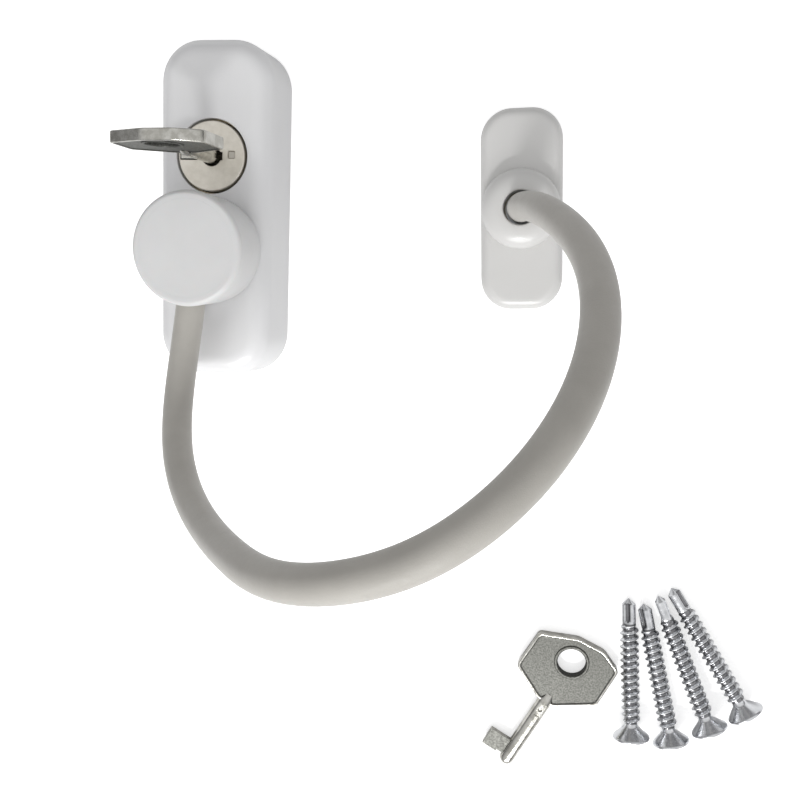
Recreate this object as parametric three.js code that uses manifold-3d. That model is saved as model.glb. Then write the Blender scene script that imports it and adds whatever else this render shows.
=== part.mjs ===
// A cable restrictor for an opening window. A key-locked body, fixed to the frame, holds a plug on one
// end of a sheathed steel cable. A plate that turns on the cable's other end is fixed to the sash.
// A spare key and four fixing screws lie beside them. Millimetres, +Z up.
// The lock's back lies on z = 0 with its centre at the origin, and its length runs along Y.

import * as THREE from 'three';
import { mergeVertices } from 'three/addons/utils/BufferGeometryUtils.js';
import Module from 'manifold-3d';

const wasm = await Module();
wasm.setup();

// ---------- driving dimensions ----------

const GAP = 0.3; // clearance between neighbouring pieces
const SIDES = 32; // facets round a visible cylinder
const SMALL_SIDES = 20; // facets round a small or hidden one

const lock = { halfWidth: 12.5, halfLength: 34.9, depth: 15, corner: 8.8, draft: 0.5, edge: 4.2, wall: 2 };
const plateThickness = 1.6; // the steel plates behind the lock and the anchor
const fixing = { holeRadius: 2.1, sinkRadius: 4.05, sinkFoot: 0.2 };
const lockHoleY = 27; // fixing holes, above and below the lock's centre

const cylinderY = 10.7; // axis of the key cylinder, on the lock's centre line
const plugY = -8.5; // axis of the plug and its knob
const cylinder = { face: 15.1, radius: 7.15, bodyFoot: 9.2, neckRadius: 5, neckFoot: 6.7 };
const keyway = { floor: 9.5, halfThickness: 0.85, bitReach: 6.75, farReach: 2.4, roundRadius: 2 };

const crank = { radius: 3, pinRadius: 1.25, restAngle: -Math.PI / 4 }; // the cylinder's drive pin
const latch = { foot: 3.7, top: 5.2, halfWidth: 8, end: 3 };
const latchTravel = 2 * crank.radius * Math.sin(-crank.restAngle); // a quarter turn of the key

const pin = { radius: 4, grooveRadius: 2.8, foot: 1.9, headFoot: 18.1, top: 19 };
const pinHole = pin.radius + GAP;

const knob = { foot: 15.3, top: 28.4, footRadius: 10.9, radius: 11.3, wall: 2.5, floorTop: 16.9 };
const knobLid = { radius: 9.3, foot: 26.7 };
const cableHeight = 22.6; // where the cable leaves the knob
const cableTurn = THREE.MathUtils.degToRad(-6); // its direction there, from -Y

const cable = { radius: 2.9, sheathBore: 1.95, coreRadius: 1.5, steps: 32 };
const crimp = { near: 1.6, far: 7.3, width: 8, height: 6.4, bore: 1.85 };

const anchor = { x: 63.4, y: 2.2, turn: THREE.MathUtils.degToRad(3) };
const anchorCover = { halfWidth: 8.45, halfLength: 20.6, depth: 5.2, corner: 6.4, edge: 2.2, wall: 1.5 };
const boss = { radius: 8.1, shoulder: 6.6, top: 9.6, bore: 3.45, mouth: 4.2 };
const anchorHoleY = 13.6;
const ferrule = { foot: 1.9, flangeRadius: 4.9, flangeTop: 3.2, barrelRadius: 3, top: 4.7 };
const washer = { foot: 3.5, top: 4.1, inner: 3.4, outer: 5 };

const key = { tip: 9.8, thickness: 2.2, shaftRadius: 1.6, bowFoot: 17.9 };
const keyRing = { along: 29.1, radius: 3.1 };
const keyBit = { foot: 1.5, top: 5.7, reach: 6.5, thickness: 1.3 };
const bowCorners = [ // the bow's outline, along the key from its tip and across it
  [17.9, -1.9],
  [23.7, -9.7],
  [33.0, -9.5],
  [35.2, -4.6],
  [34.7, 1.6],
  [31.0, 9.5],
  [21.8, 9.7],
  [17.9, 1.9],
];

const screwHead = { radius: 3.95, depth: 2.9, rim: 0.5 };
const screw = { length: 31, shankRadius: 2, drillRadius: 1.45 };
const drillLength = 5.5;

// The cable's centre line, from the crimp in the knob, up over the gap and down into the anchor's boss.
const cableRoute = [
  [-0.8, -16.1, 22.6],
  [-1.4, -21.0, 22.6],
  [-2.1, -27.5, 23.0],
  [-2.4, -35.0, 24.8],
  [0.0, -46.5, 32.0],
  [7.0, -54.0, 43.0],
  [15.5, -56.7, 54.7],
  [24.0, -56.7, 66.7],
  [33.5, -55.5, 78.5],
  [44.5, -52.5, 87.0],
  [57.0, -47.0, 90.5],
  [68.5, -37.7, 88.0],
  [75.5, -27.5, 80.0],
  [78.0, -18.0, 69.0],
  [77.0, -10.0, 56.5],
  [73.5, -4.0, 43.5],
  [69.0, 0.0, 30.0],
  [65.3, 1.9, 17.0],
  [63.8, 2.2, 10.5],
  [63.4, 2.2, 5.0],
];

// ---------- materials ----------

function material(name, color, roughness, metalness) {
  const made = new THREE.MeshStandardMaterial({ color, roughness, metalness });
  made.name = name;
  return made;
}

const whiteCoat = () => material('white_coat', 0xe6e6e4, 0.28, 0);
const whitePlastic = () => material('white_plastic', 0xeeeeec, 0.3, 0);
const whiteSheath = () => material('white_sheath', 0xdedbd4, 0.5, 0);
const greyPlastic = () => material('grey_plastic', 0x5a5a5c, 0.5, 0);
const nickel = () => material('nickel', 0xb9b4a8, 0.3, 1);
const zincPlate = () => material('zinc_plate', 0xa9adb2, 0.35, 1);
const brightZinc = () => material('bright_zinc', 0xd0d2d6, 0.22, 1);
const brass = () => material('brass', 0xb08d3e, 0.35, 1);

// ---------- solids ----------

function toManifold(geometry) {
  const bare = geometry.index ? geometry.toNonIndexed() : geometry.clone();
  bare.deleteAttribute('normal');
  bare.deleteAttribute('uv');
  const merged = mergeVertices(bare, 1e-4);
  const vertProperties = Float32Array.from(merged.attributes.position.array);
  const triVerts = Uint32Array.from(merged.index.array);
  return new wasm.Manifold(new wasm.Mesh({ numProp: 3, vertProperties, triVerts }));
}

function toGeometry(manifold) {
  const mesh = manifold.getMesh();
  const geometry = new THREE.BufferGeometry();
  geometry.setAttribute('position', new THREE.BufferAttribute(Float32Array.from(mesh.vertProperties), 3));
  geometry.setIndex(new THREE.BufferAttribute(Uint32Array.from(mesh.triVerts), 1));
  geometry.computeVertexNormals();
  return geometry;
}

function cut(body, ...tools) {
  return toGeometry(tools.reduce((rest, tool) => rest.subtract(toManifold(tool)), toManifold(body)));
}

function join(body, ...others) {
  return toGeometry(others.reduce((whole, other) => whole.add(toManifold(other)), toManifold(body)));
}

// A body of revolution about Z from [radius, z] points, listed upwards on the outside.
function turned(profile, sides = SIDES) {
  const points = profile.map(([radius, z]) => new THREE.Vector2(radius, z));
  return new THREE.LatheGeometry(points, sides).rotateX(Math.PI / 2);
}

function disc(radius, foot, top, sides = SMALL_SIDES) {
  return turned([[0, foot], [radius, foot], [radius, top], [0, top]], sides);
}

function ring(inner, outer, foot, top, sides = SIDES) {
  return turned([[inner, foot], [outer, foot], [outer, top], [inner, top], [inner, foot]], sides);
}

function block(width, length, foot, top, x = 0, y = 0) {
  return new THREE.BoxGeometry(width, length, top - foot).translate(x, y, (foot + top) / 2);
}

function roundedOutline(halfWidth, halfLength, corner, cornerSteps = 8) {
  const points = [];
  for (let quarter = 0; quarter < 4; quarter += 1) {
    const signX = quarter === 0 || quarter === 3 ? 1 : -1;
    const signY = quarter < 2 ? 1 : -1;
    for (let step = 0; step <= cornerSteps; step += 1) {
      const angle = (quarter + step / cornerSteps) * (Math.PI / 2);
      const x = signX * (halfWidth - corner) + corner * Math.cos(angle);
      const y = signY * (halfLength - corner) + corner * Math.sin(angle);
      points.push(new THREE.Vector2(x, y));
    }
  }
  return points;
}

// A closed skin over a stack of outlines that all have the same number of points.
function loft(levels) {
  const count = levels[0].outline.length;
  const positions = levels.flatMap(({ outline, z }) => outline.flatMap((point) => [point.x, point.y, z]));
  const faces = [];
  for (let level = 0; level + 1 < levels.length; level += 1) {
    for (let index = 0; index < count; index += 1) {
      const next = (index + 1) % count;
      const low = level * count;
      const high = low + count;
      faces.push(low + index, low + next, high + next, low + index, high + next, high + index);
    }
  }
  const last = (levels.length - 1) * count;
  for (const [a, b, c] of THREE.ShapeUtils.triangulateShape(levels[0].outline, [])) {
    faces.push(a, c, b, last + a, last + b, last + c);
  }
  const geometry = new THREE.BufferGeometry();
  geometry.setAttribute('position', new THREE.Float32BufferAttribute(positions, 3));
  geometry.setIndex(faces);
  geometry.computeVertexNormals();
  return geometry;
}

// A tray-shaped cover: drafted sides, a rounded front edge and an open back.
function coverShell({ halfWidth, halfLength, depth, corner, draft = 0, edge, wall }) {
  const edgeSteps = 4;
  const outlineAt = (inset, z) => {
    const slope = (draft * z) / depth;
    const width = halfWidth - slope - inset;
    const length = halfLength - slope - inset;
    return { z, outline: roundedOutline(width, length, corner - slope - inset) };
  };
  const outer = [outlineAt(0, 0)];
  for (let step = 0; step <= edgeSteps; step += 1) {
    const angle = (step / edgeSteps) * (Math.PI / 2);
    outer.push(outlineAt(edge * (1 - Math.cos(angle)), depth - edge * (1 - Math.sin(angle))));
  }
  const inner = [outlineAt(wall, -1), outlineAt(wall, depth - wall)];
  return cut(loft(outer), loft(inner));
}

function fixingPlate(halfWidth, halfLength, corner, holeY) {
  const outline = roundedOutline(halfWidth, halfLength, corner);
  const sink = [
    [0, -1],
    [fixing.holeRadius, -1],
    [fixing.holeRadius, fixing.sinkFoot],
    [fixing.sinkRadius, plateThickness],
    [fixing.sinkRadius, plateThickness + 1],
    [0, plateThickness + 1],
  ];
  const holes = [-holeY, holeY].map((y) => turned(sink, SMALL_SIDES).translate(0, y, 0));
  return cut(loft([{ outline, z: 0 }, { outline, z: plateThickness }]), ...holes);
}

// ---------- the tree of pieces ----------

const restrictor = new THREE.Group();

function group(parent, x = 0, y = 0, turn = 0) {
  const made = new THREE.Group();
  made.position.set(x, y, 0);
  made.rotation.z = turn;
  parent.add(made);
  return made;
}

function add(parent, name, geometry, finish) {
  const mesh = new THREE.Mesh(geometry, finish);
  mesh.name = name;
  parent.add(mesh);
  return mesh;
}

// ---------- lock ----------

function lockHousing() {
  const cylinderHole = disc(cylinder.radius + 0.35, 10, 20, SIDES).translate(0, cylinderY, 0);
  const socketHole = disc(5.7, 10, 20).translate(0, plugY, 0);
  return cut(coverShell(lock), cylinderHole, socketHole);
}

// A steel bush in the housing's front that guides the plug.
function pinSocket() {
  const bore = pin.radius + 0.4;
  const outer = 5.4;
  const flange = 6.6;
  const profile = [[bore, 9], [outer, 9], [outer, 11.3], [flange, 11.3], [flange, 12.7], [outer, 12.7]];
  return turned([...profile, [outer, lock.depth - 0.1], [bore, lock.depth - 0.1], [bore, 9]]);
}

// The tube that the key cylinder turns in, with a lip behind the cylinder's body.
function cylinderBarrel() {
  const lipFoot = 8.4;
  const lipTop = cylinder.bodyFoot - GAP;
  const bore = cylinder.radius + 0.25;
  const top = lock.depth - lock.wall - GAP;
  const outer = 8.9;
  const lip = cylinder.neckRadius + GAP;
  const outside = [[lip, lipFoot], [outer, lipFoot], [outer, top]];
  return turned([...outside, [bore, top], [bore, lipTop], [lip, lipTop], [lip, lipFoot]]);
}

// The tray under the latch: a floor with a hole for the plug's tip, and two rails.
function latchGuide() {
  const halfWidth = 9.9;
  const foot = plateThickness + GAP;
  const floorTop = latch.foot - GAP;
  const [low, high] = [-21, 19];
  const middle = (low + high) / 2;
  const body = block(2 * halfWidth, high - low, foot, latch.top, 0, middle);
  const channel = block(2 * (latch.halfWidth + GAP), high - low + 2, floorTop, latch.top + 1, 0, middle);
  const tipHole = disc(pin.radius + 0.5, 0, 10).translate(0, plugY, 0);
  return cut(body, channel, tipHole);
}

// The sliding plate, drawn back: its round hole lies on the plug and its narrow end below it.
function latchPlate() {
  const slotY = cylinderY + crank.radius * Math.sin(crank.restAngle);
  const slotX = crank.radius * Math.cos(crank.restAngle);
  const slotHalfLength = crank.pinRadius + 0.2;
  const grip = pin.grooveRadius + 2 * GAP;
  const low = plugY - latchTravel - grip - latch.end;
  const high = slotY + slotHalfLength + latch.end;
  const body = block(2 * latch.halfWidth, high - low, latch.foot, latch.top, 0, (low + high) / 2);
  const slotStart = slotX - crank.pinRadius - 0.4;
  const slotEnd = crank.radius + crank.pinRadius + 0.4;
  const slotMiddle = (slotStart + slotEnd) / 2;
  const slot = block(slotEnd - slotStart, 2 * slotHalfLength, 0, 10, slotMiddle, slotY);
  const passing = disc(pinHole, 0, 10).translate(0, plugY, 0);
  const gripEnd = disc(grip, 0, 10).translate(0, plugY - latchTravel, 0);
  const throat = block(2 * grip, latchTravel, 0, 10, 0, plugY - latchTravel / 2);
  return cut(body, slot, passing, gripEnd, throat);
}

const lockBody = group(restrictor);
const lockPlateInset = lock.wall + 0.4;
const lockPlateHalfWidth = lock.halfWidth - lockPlateInset;
const lockPlateHalfLength = lock.halfLength - lockPlateInset;
const lockPlate = fixingPlate(lockPlateHalfWidth, lockPlateHalfLength, 6, lockHoleY);
add(lockBody, 'lock_base_plate', lockPlate, zincPlate());
add(lockBody, 'lock_housing', lockHousing(), whiteCoat());
add(lockBody, 'latch_guide', latchGuide(), greyPlastic());
add(lockBody, 'latch_plate', latchPlate(), zincPlate());
add(group(lockBody, 0, cylinderY), 'cylinder_barrel', cylinderBarrel(), brass());
add(group(lockBody, 0, plugY), 'pin_socket', pinSocket(), zincPlate());

// ---------- key cylinder ----------

const groove = { foot: 7.1, top: 8.2, radius: 4.3 };
const tail = { halfWidth: 1.8, foot: 5.5 };
const cam = { radius: 4.8, foot: 5.4, top: 6.4 };

function cylinderPlug() {
  const body = turned([
    [0, cylinder.neckFoot],
    [cylinder.neckRadius, cylinder.neckFoot],
    [cylinder.neckRadius, groove.foot],
    [groove.radius, groove.foot],
    [groove.radius, groove.top],
    [cylinder.neckRadius, groove.top],
    [cylinder.neckRadius, cylinder.bodyFoot],
    [cylinder.radius, cylinder.bodyFoot],
    [cylinder.radius, cylinder.face - 0.2],
    [cylinder.radius - 0.2, cylinder.face],
    [0, cylinder.face],
  ]);
  const square = block(2 * tail.halfWidth, 2 * tail.halfWidth, tail.foot, cylinder.neckFoot + 0.5);
  const slotWidth = keyway.bitReach + keyway.farReach;
  const slotX = (keyway.farReach - keyway.bitReach) / 2;
  const slot = block(slotWidth, 2 * keyway.halfThickness, keyway.floor, 20, slotX);
  const shaftWay = disc(keyway.roundRadius, keyway.floor, 20);
  return cut(join(body, square), slot, shaftWay);
}

// A disc on the cylinder's square tail, with the crank pin that moves the latch.
function driveCam() {
  const plate = disc(cam.radius, cam.foot, cam.top, SIDES);
  const pinX = crank.radius * Math.cos(crank.restAngle);
  const pinY = crank.radius * Math.sin(crank.restAngle);
  const crankPin = disc(crank.pinRadius, latch.foot + 0.2, cam.foot + 0.5).translate(pinX, pinY, 0);
  const holeWidth = 2 * (tail.halfWidth + GAP);
  const squareHole = block(holeWidth, holeWidth, cam.foot - 0.1, cam.top + 1);
  return cut(join(plate, crankPin), squareHole);
}

// A spring clip: a ring with a gap in one side.
function circlip(inner, outer, foot, top) {
  const opening = block(2 * inner * 0.6, outer * 2, foot - 1, top + 1, 0, -outer);
  return cut(ring(inner, outer, foot, top), opening);
}

const cylinderBody = group(lockBody, 0, cylinderY);
add(cylinderBody, 'cylinder_plug', cylinderPlug(), nickel());
add(cylinderBody, 'drive_cam', driveCam(), zincPlate());
const cylinderClip = circlip(groove.radius + GAP, 6.4, groove.foot + GAP, groove.top - GAP);
add(cylinderBody, 'cylinder_circlip', cylinderClip, zincPlate());

// ---------- keys ----------

// One key, lying flat: its shaft along +X from the tip, and its bit on the +Y side.
function keyShape() {
  const half = key.thickness / 2;
  const bow = new THREE.Shape(bowCorners.map(([x, y]) => new THREE.Vector2(x, y)));
  const flat = new THREE.ExtrudeGeometry(bow, { depth: key.thickness, bevelEnabled: false });
  const ringHole = disc(keyRing.radius, -5, 5).translate(keyRing.along, 0, 0);
  const shaftEnd = key.bowFoot + 1.5;
  const shaft = disc(key.shaftRadius, 0, shaftEnd, 16).rotateY(Math.PI / 2);
  const bitLength = keyBit.top - keyBit.foot;
  const bit = new THREE.BoxGeometry(bitLength, keyBit.reach, keyBit.thickness);
  bit.translate(keyBit.foot + bitLength / 2, keyBit.reach / 2, 0);
  return cut(join(flat.translate(0, 0, -half), shaft, bit), ringHole);
}

// Key in the cylinder: its length stands along +Z and its bow lies across X.
const keyBody = group(lockBody, 0, cylinderY);
keyBody.position.z = key.tip;
const keyAxes = [new THREE.Vector3(0, 0, 1), new THREE.Vector3(-1, 0, 0), new THREE.Vector3(0, -1, 0)];
keyBody.quaternion.setFromRotationMatrix(new THREE.Matrix4().makeBasis(...keyAxes));
add(keyBody, 'key', keyShape(), nickel());

const spareKeyBody = group(restrictor, 65.7, -121.2, THREE.MathUtils.degToRad(61.6));
spareKeyBody.position.z = key.shaftRadius + 0.02;
add(spareKeyBody, 'spare_key', keyShape(), nickel());

// ---------- plug, knob and cable ----------

function plugPin() {
  const tipRadius = 3.1;
  const shoulder = 2.6;
  return turned([
    [0, pin.foot],
    [tipRadius, pin.foot],
    [pin.radius, shoulder],
    [pin.radius, latch.foot - GAP],
    [pin.grooveRadius, latch.foot - GAP],
    [pin.grooveRadius, latch.top + GAP],
    [pin.radius, latch.top + GAP],
    [pin.radius, pin.headFoot],
    [6.5, pin.headFoot],
    [6.5, pin.top],
    [0, pin.top],
  ]);
}

function knobShell() {
  const inner = knob.radius - knob.wall;
  const lidSeat = knobLid.foot - GAP;
  const lidBore = knobLid.radius + GAP;
  const rim = 1;
  const rimSteps = 4;
  const profile = [
    [pinHole, knob.foot],
    [knob.footRadius - 0.4, knob.foot],
    [knob.footRadius, knob.foot + 0.4],
  ];
  for (let step = 0; step <= rimSteps; step += 1) {
    const angle = (step / rimSteps) * (Math.PI / 2);
    profile.push([knob.radius - rim * (1 - Math.cos(angle)), knob.top - rim * (1 - Math.sin(angle))]);
  }
  profile.push([lidBore, knob.top], [lidBore, lidSeat], [inner, lidSeat], [inner, knob.floorTop]);
  profile.push([pinHole, knob.floorTop], [pinHole, knob.foot]);
  const cableHole = disc(cable.radius + GAP, 0, 20).rotateX(Math.PI / 2).translate(0, 0, cableHeight);
  return cut(turned(profile, 48), cableHole);
}

// The block crimped on the cable inside the knob, too wide for the knob's hole.
function knobCrimp() {
  const length = crimp.far - crimp.near;
  const body = new THREE.BoxGeometry(crimp.width, length, crimp.height);
  const hole = disc(crimp.bore, -10, 10, 12).rotateX(Math.PI / 2);
  return cut(body, hole).translate(0, -(crimp.near + crimp.far) / 2, cableHeight);
}

function anchorFerrule() {
  const bore = crimp.bore;
  return turned([
    [bore, ferrule.foot],
    [ferrule.flangeRadius, ferrule.foot],
    [ferrule.flangeRadius, ferrule.flangeTop],
    [ferrule.barrelRadius, ferrule.flangeTop],
    [ferrule.barrelRadius, ferrule.top],
    [bore, ferrule.top],
    [bore, ferrule.foot],
  ], SMALL_SIDES);
}

function circleShape(radius, sides, hole = 0) {
  const corners = (size) => Array.from({ length: sides }, (_, index) => {
    const angle = (index / sides) * 2 * Math.PI;
    return new THREE.Vector2(size * Math.cos(angle), size * Math.sin(angle));
  });
  const shape = new THREE.Shape(corners(radius));
  if (hole > 0) {
    shape.holes.push(new THREE.Path(corners(hole)));
  }
  return shape;
}

function alongCable(points, shape) {
  const extrudePath = new THREE.CatmullRomCurve3(points.map((point) => new THREE.Vector3(...point)));
  return new THREE.ExtrudeGeometry(shape, { steps: cable.steps, extrudePath });
}

const plugBody = group(restrictor, 0, plugY);
add(plugBody, 'plug_pin', plugPin(), zincPlate());
const pinWasher = ring(pinHole, 6.8, knob.floorTop + GAP, pin.headFoot - GAP, SMALL_SIDES);
add(plugBody, 'pin_washer', pinWasher, nickel());

const knobBody = group(plugBody, 0, 0, cableTurn);
add(knobBody, 'knob_shell', knobShell(), whitePlastic());
add(knobBody, 'knob_lid', disc(knobLid.radius, knobLid.foot, knob.top - 0.1, 40), whitePlastic());
add(knobBody, 'knob_crimp', knobCrimp(), zincPlate());

const sheathShape = circleShape(cable.radius, 12, cable.sheathBore);
const routeStart = cableRoute[0];
const routeEnd = cableRoute[cableRoute.length - 1];
const coreInset = crimp.far - crimp.near - 0.7;
const coreStart = [
  routeStart[0] - coreInset * Math.sin(cableTurn),
  routeStart[1] + coreInset * Math.cos(cableTurn),
  cableHeight,
];
const coreEnd = [routeEnd[0], routeEnd[1], ferrule.foot + 0.4];
add(restrictor, 'cable_sheath', alongCable(cableRoute, sheathShape), whiteSheath());
const coreRoute = [coreStart, ...cableRoute, coreEnd];
add(restrictor, 'cable_core', alongCable(coreRoute, circleShape(cable.coreRadius, 8)), zincPlate());

// ---------- anchor ----------

function anchorShell() {
  const { radius, shoulder, top, bore, mouth } = boss;
  const domeSteps = 5;
  const dome = [[0, 2], [radius, 2]];
  for (let step = 0; step <= domeSteps; step += 1) {
    const angle = (step / domeSteps) * (Math.PI / 2);
    dome.push([mouth + (radius - mouth) * Math.cos(angle), shoulder + (top - shoulder) * Math.sin(angle)]);
  }
  dome.push([0, top]);
  const counterbore = washer.outer + 0.4;
  const seat = washer.top + GAP;
  const passage = turned([
    [0, -1],
    [counterbore, -1],
    [counterbore, seat],
    [bore, seat],
    [bore, top - 1.6],
    [mouth - 0.1, top + 0.1],
    [0, top + 0.1],
  ]);
  const shell = coverShell(anchorCover);
  return cut(join(shell, turned(dome)), passage);
}

const anchorBody = group(restrictor, anchor.x, anchor.y, anchor.turn);
const anchorPlateInset = anchorCover.wall + GAP;
const anchorPlate = fixingPlate(
  anchorCover.halfWidth - anchorPlateInset,
  anchorCover.halfLength - anchorPlateInset,
  anchorCover.corner - anchorPlateInset,
  anchorHoleY,
);
add(anchorBody, 'anchor_base_plate', anchorPlate, zincPlate());
add(anchorBody, 'anchor_cover', anchorShell(), whiteCoat());
const swivelWasher = ring(washer.inner, washer.outer, washer.foot, washer.top, SMALL_SIDES);
add(anchorBody, 'swivel_washer', swivelWasher, brass());
add(group(restrictor, anchor.x, anchor.y), 'anchor_ferrule', anchorFerrule(), zincPlate());

// ---------- loose screws ----------

// A self-drilling countersunk screw along +Z, from its point at 0 to its head.
function screwShape() {
  const { length, shankRadius, drillRadius } = screw;
  return turned([
    [0, 0],
    [drillRadius, 1.4],
    [drillRadius, drillLength],
    [shankRadius, drillLength + 1],
    [shankRadius, length - screwHead.depth],
    [screwHead.radius, length - screwHead.rim],
    [screwHead.radius, length],
    [0, length],
  ], SMALL_SIDES);
}

// The screws lie on their threads and head rims, so each one dips towards its point.
const screwDip = Math.asin((screwHead.radius - screw.shankRadius) / (screw.length - drillLength));
const layingScrews = [
  { x: 90.8, y: -79.9, heading: -85.5 }, // where its point lies, and degrees from +X to its head
  { x: 94.05, y: -80.8, heading: -75.6 },
  { x: 96.9, y: -78.8, heading: -65.8 },
  { x: 99.5, y: -76.8, heading: -56.3 },
];

layingScrews.forEach(({ x, y, heading }, index) => {
  const body = group(restrictor, x, y);
  const pointHeight = screwHead.radius + 0.05 - screw.length * Math.sin(screwDip);
  body.position.z = pointHeight + 0.05;
  body.rotation.order = 'ZYX';
  body.rotation.z = THREE.MathUtils.degToRad(heading);
  body.rotation.y = Math.PI / 2 - screwDip;
  add(body, `screw_${index + 1}`, screwShape(), brightZinc());
});

export default restrictor;
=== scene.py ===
"""A window restrictor cable: finished pieces, materials, light and camera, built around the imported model.

Shapes are worked out in millimetres in the model's frame, and piece() turns them into metres.
"""

import math

import bmesh
import bpy
import numpy as np
from mathutils import Matrix, Vector


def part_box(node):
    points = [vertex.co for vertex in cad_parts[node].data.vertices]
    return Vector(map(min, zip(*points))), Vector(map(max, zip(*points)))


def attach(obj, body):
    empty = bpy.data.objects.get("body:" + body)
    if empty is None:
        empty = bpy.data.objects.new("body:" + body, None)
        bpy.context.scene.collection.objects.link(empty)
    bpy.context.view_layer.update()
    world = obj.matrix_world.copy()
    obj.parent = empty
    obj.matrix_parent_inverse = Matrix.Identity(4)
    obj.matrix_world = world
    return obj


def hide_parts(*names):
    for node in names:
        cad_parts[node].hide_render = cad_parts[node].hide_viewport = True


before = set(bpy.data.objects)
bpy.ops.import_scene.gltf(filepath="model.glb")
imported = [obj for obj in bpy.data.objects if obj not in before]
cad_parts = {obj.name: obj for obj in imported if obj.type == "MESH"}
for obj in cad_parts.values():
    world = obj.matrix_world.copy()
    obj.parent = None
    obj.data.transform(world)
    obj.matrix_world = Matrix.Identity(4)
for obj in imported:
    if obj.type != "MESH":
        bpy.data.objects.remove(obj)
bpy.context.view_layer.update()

MM = 0.001
ROUND = 96  # facets round a turned piece


def low(node):
    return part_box(node)[0] / MM


def high(node):
    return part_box(node)[1] / MM


def middle(node):
    return (low(node) + high(node)) / 2


# ---------- camera ----------

camera_place = Vector((72.14, -12.06, 200.0))
camera_turn = (-7.43, 9.78, 2.05)  # degrees about X, Y and Z, from straight down
camera_lens = 41.4


def make_camera():
    camera = bpy.data.objects.new("camera", bpy.data.cameras.new("camera"))
    camera.location = camera_place * MM
    camera.rotation_euler = [math.radians(turn) for turn in camera_turn]
    camera.data.lens = camera_lens
    camera.data.clip_start = 0.01
    bpy.context.scene.collection.objects.link(camera)
    bpy.context.scene.camera = camera


make_camera()


# ---------- solids ----------


def solid(verts, faces):
    """A closed mesh, with coincident points merged and its faces pointing out."""
    body = bmesh.new()
    points = [body.verts.new(vert) for vert in verts]
    for face in faces:
        body.faces.new([points[index] for index in face])
    bmesh.ops.remove_doubles(body, verts=body.verts, dist=1e-4)
    bmesh.ops.recalc_face_normals(body, faces=body.faces)
    mesh = bpy.data.meshes.new("solid")
    body.to_mesh(mesh)
    body.free()
    return mesh


def skin(rings, capped=False):
    """A solid over a stack of rings with the same number of points."""
    count = len(rings[0])
    last = (len(rings) - 1) * count
    faces = []
    for start in range(0, last, count):
        for index in range(count):
            after = (index + 1) % count
            faces.append((start + index, start + after, start + count + after, start + count + index))
    if capped:
        faces.append(tuple(reversed(range(count))))
        faces.append(tuple(range(last, last + count)))
    return solid([point for ring in rings for point in ring], faces)


def turned(profile, sides=ROUND):
    """A body of revolution about Z, from (radius, z) points that end on the axis or close on themselves."""
    angles = [2 * math.pi * index / sides for index in range(sides)]
    return skin([[(r * math.cos(a), r * math.sin(a), z) for a in angles] for r, z in profile])


def block(size, centre):
    corners = [(-1, -1), (1, -1), (1, 1), (-1, 1)]
    rings = []
    for level in (-1, 1):
        ring = []
        for x, y in corners:
            ring.append([c + s * half / 2 for c, s, half in zip(centre, (x, y, level), size)])
        rings.append(ring)
    return skin(rings, capped=True)


def combined(mesh, operation, *tools):
    """The solid with tools joined to it or cut from it, one after another."""
    body = bpy.data.objects.new("body", mesh)
    bpy.context.scene.collection.objects.link(body)
    helpers = []
    for tool in tools:
        helper = bpy.data.objects.new("tool", tool)
        bpy.context.scene.collection.objects.link(helper)
        modifier = body.modifiers.new("boolean", "BOOLEAN")
        modifier.operation = operation
        modifier.solver = "EXACT"
        modifier.object = helper
        helpers.append(helper)
    graph = bpy.context.evaluated_depsgraph_get()
    result = bpy.data.meshes.new_from_object(body.evaluated_get(graph))
    for helper in (*helpers, body):
        bpy.data.objects.remove(helper)
    result.materials.clear()
    return result


def cut(mesh, *tools):
    return combined(mesh, "DIFFERENCE", *tools)


def joined(mesh, *others):
    return combined(mesh, "UNION", *others)


def placed(mesh, x=0.0, y=0.0, z=0.0, turn=None):
    """The solid turned by a matrix, then moved."""
    if turn is not None:
        mesh.transform(turn.to_4x4())
    mesh.transform(Matrix.Translation((x, y, z)))
    return mesh


def arc(centre, radius, start, end, steps=6):
    """Points on a circle's arc between two angles in degrees."""
    angles = [math.radians(start + (end - start) * step / steps) for step in range(steps + 1)]
    return [(centre[0] + radius * math.cos(a), centre[1] + radius * math.sin(a)) for a in angles]


def softened(points, radius, closed=False, steps=4):
    """A line with its corners rounded, by less where the runs beside a corner are short."""
    most_of_a_run = 0.45
    made = []
    count = len(points)
    for index, here in enumerate(points):
        if not closed and index in (0, count - 1):
            made.append(here)
            continue
        corner = Vector(here)
        before = Vector(points[index - 1]) - corner
        after = Vector(points[(index + 1) % count]) - corner
        start = corner + before.normalized() * min(radius, most_of_a_run * before.length)
        end = corner + after.normalized() * min(radius, most_of_a_run * after.length)
        for step in range(steps + 1):
            t = step / steps
            made.append(tuple(start * (1 - t) ** 2 + corner * 2 * t * (1 - t) + end * t * t))
    return made


def rounded_ring(half_width, half_length, corner, z, steps=16, run=10):
    """A rectangle with round corners, as points at one height, with run points along each side."""
    corner = max(corner, 0.01)
    ring = []
    for quarter in range(4):
        sign_x = 1 if quarter in (0, 3) else -1
        sign_y = 1 if quarter < 2 else -1
        centre = (sign_x * (half_width - corner), sign_y * (half_length - corner))
        ring += [(x, y, z) for x, y in arc(centre, corner, 90 * quarter, 90 * quarter + 90, steps)]
        side = Vector((-sign_y, 0, 0)) * 2 * (half_width - corner)
        if quarter in (1, 3):
            side = Vector((0, sign_x, 0)) * 2 * (half_length - corner)
        ring += [tuple(Vector(ring[-1]) + side * share / (run + 1)) for share in range(1, run + 1)]
    return ring


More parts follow.
